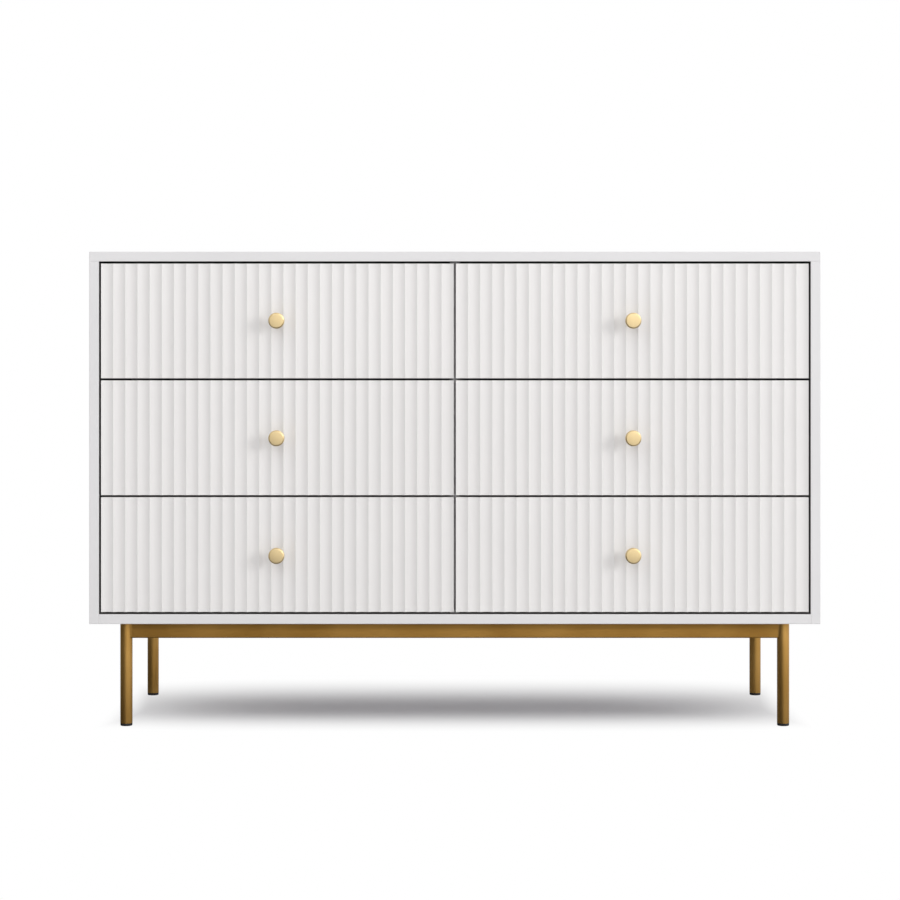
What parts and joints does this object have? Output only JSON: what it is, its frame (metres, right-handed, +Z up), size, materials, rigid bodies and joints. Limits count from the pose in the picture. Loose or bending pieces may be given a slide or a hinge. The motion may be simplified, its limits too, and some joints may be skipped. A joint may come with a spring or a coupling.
{
  "type": "dresser",
  "caption": "Low white dresser with fluted drawer fronts, round brass-toned knobs and a slim brass-toned metal leg base; the drawers run on ball-bearing runners.",
  "frame": {"origin": "on the floor, under the middle of the outline with the knobs included", "axes": "+X to the right seen from the front, +Y towards the wall behind, +Z up; the drawers open along -Y"},
  "size_m": [1.2, 0.426, 0.782],
  "materials": {
    "white_lacquered_board": "satin white lacquer",
    "fluted_lacquered_front": "satin white lacquer over moulded fibreboard",
    "white_back_board": "matt white paper foil",
    "drawer_box_board": "matt melamine",
    "plywood_tongue": "bare plywood",
    "brass_finished_steel": "satin brass plating",
    "satin_brass": "satin",
    "black_plastic": "moulded matt",
    "zinc_plated_steel": "bright zinc plating"
  },
  "bodies": {
    "cabinet": {"top_panel": "white_lacquered_board", "bottom_panel": "white_lacquered_board", "left_side_panel": "white_lacquered_board", "right_side_panel": "white_lacquered_board", "centre_divider": "white_lacquered_board", "back_panel": "white_back_board", "joint_tongues": "plywood_tongue", "leg_front_left": "brass_finished_steel", "leg_front_right": "brass_finished_steel", "leg_rear_left": "brass_finished_steel", "leg_rear_right": "brass_finished_steel", "front_rail": "brass_finished_steel", "rear_rail": "brass_finished_steel", "side_rails": "brass_finished_steel", "corner_plates": "brass_finished_steel", "foot_caps": "black_plastic", "cabinet_runner_rails": "zinc_plated_steel"},
    "top_left_drawer": {"top_left_drawer_front": "fluted_lacquered_front", "top_left_drawer_sides": "drawer_box_board", "top_left_drawer_back": "drawer_box_board", "top_left_drawer_bottom": "drawer_box_board", "top_left_knob": "satin_brass", "top_left_drawer_sliders": "zinc_plated_steel"},
    "top_left_cages": {"top_left_ball_cages": "zinc_plated_steel"},
    "top_right_drawer": {"top_right_drawer_front": "fluted_lacquered_front", "top_right_drawer_sides": "drawer_box_board", "top_right_drawer_back": "drawer_box_board", "top_right_drawer_bottom": "drawer_box_board", "top_right_knob": "satin_brass", "top_right_drawer_sliders": "zinc_plated_steel"},
    "top_right_cages": {"top_right_ball_cages": "zinc_plated_steel"},
    "middle_left_drawer": {"middle_left_drawer_front": "fluted_lacquered_front", "middle_left_drawer_sides": "drawer_box_board", "middle_left_drawer_back": "drawer_box_board", "middle_left_drawer_bottom": "drawer_box_board", "middle_left_knob": "satin_brass", "middle_left_drawer_sliders": "zinc_plated_steel"},
    "middle_left_cages": {"middle_left_ball_cages": "zinc_plated_steel"},
    "middle_right_drawer": {"middle_right_drawer_front": "fluted_lacquered_front", "middle_right_drawer_sides": "drawer_box_board", "middle_right_drawer_back": "drawer_box_board", "middle_right_drawer_bottom": "drawer_box_board", "middle_right_knob": "satin_brass", "middle_right_drawer_sliders": "zinc_plated_steel"},
    "middle_right_cages": {"middle_right_ball_cages": "zinc_plated_steel"},
    "bottom_left_drawer": {"bottom_left_drawer_front": "fluted_lacquered_front", "bottom_left_drawer_sides": "drawer_box_board", "bottom_left_drawer_back": "drawer_box_board", "bottom_left_drawer_bottom": "drawer_box_board", "bottom_left_knob": "satin_brass", "bottom_left_drawer_sliders": "zinc_plated_steel"},
    "bottom_left_cages": {"bottom_left_ball_cages": "zinc_plated_steel"},
    "bottom_right_drawer": {"bottom_right_drawer_front": "fluted_lacquered_front", "bottom_right_drawer_sides": "drawer_box_board", "bottom_right_drawer_back": "drawer_box_board", "bottom_right_drawer_bottom": "drawer_box_board", "bottom_right_knob": "satin_brass", "bottom_right_drawer_sliders": "zinc_plated_steel"},
    "bottom_right_cages": {"bottom_right_ball_cages": "zinc_plated_steel"}
  },
  "joints": [
    {"name": "top_left_drawer_slide", "type": "slide", "parent": "cabinet", "child": "top_left_drawer", "axis": [0, -1, 0], "range_m": [0, 0.26]},
    {"name": "top_left_cage_slide", "type": "slide", "parent": "cabinet", "child": "top_left_cages", "axis": [0, -1, 0], "range_m": [0, 0.13]},
    {"name": "top_right_drawer_slide", "type": "slide", "parent": "cabinet", "child": "top_right_drawer", "axis": [0, -1, 0], "range_m": [0, 0.26]},
    {"name": "top_right_cage_slide", "type": "slide", "parent": "cabinet", "child": "top_right_cages", "axis": [0, -1, 0], "range_m": [0, 0.13]},
    {"name": "middle_left_drawer_slide", "type": "slide", "parent": "cabinet", "child": "middle_left_drawer", "axis": [0, -1, 0], "range_m": [0, 0.26]},
    {"name": "middle_left_cage_slide", "type": "slide", "parent": "cabinet", "child": "middle_left_cages", "axis": [0, -1, 0], "range_m": [0, 0.13]},
    {"name": "middle_right_drawer_slide", "type": "slide", "parent": "cabinet", "child": "middle_right_drawer", "axis": [0, -1, 0], "range_m": [0, 0.26]},
    {"name": "middle_right_cage_slide", "type": "slide", "parent": "cabinet", "child": "middle_right_cages", "axis": [0, -1, 0], "range_m": [0, 0.13]},
    {"name": "bottom_left_drawer_slide", "type": "slide", "parent": "cabinet", "child": "bottom_left_drawer", "axis": [0, -1, 0], "range_m": [0, 0.26]},
    {"name": "bottom_left_cage_slide", "type": "slide", "parent": "cabinet", "child": "bottom_left_cages", "axis": [0, -1, 0], "range_m": [0, 0.13]},
    {"name": "bottom_right_drawer_slide", "type": "slide", "parent": "cabinet", "child": "bottom_right_drawer", "axis": [0, -1, 0], "range_m": [0, 0.26]},
    {"name": "bottom_right_cage_slide", "type": "slide", "parent": "cabinet", "child": "bottom_right_cages", "axis": [0, -1, 0], "range_m": [0, 0.13]}
  ],
  "couplings": [
    {"joint": "top_left_cage_slide", "follows": "top_left_drawer_slide", "ratio": 0.5},
    {"joint": "top_right_cage_slide", "follows": "top_right_drawer_slide", "ratio": 0.5},
    {"joint": "middle_left_cage_slide", "follows": "middle_left_drawer_slide", "ratio": 0.5},
    {"joint": "middle_right_cage_slide", "follows": "middle_right_drawer_slide", "ratio": 0.5},
    {"joint": "bottom_left_cage_slide", "follows": "bottom_left_drawer_slide", "ratio": 0.5},
    {"joint": "bottom_right_cage_slide", "follows": "bottom_right_drawer_slide", "ratio": 0.5}
  ]
}
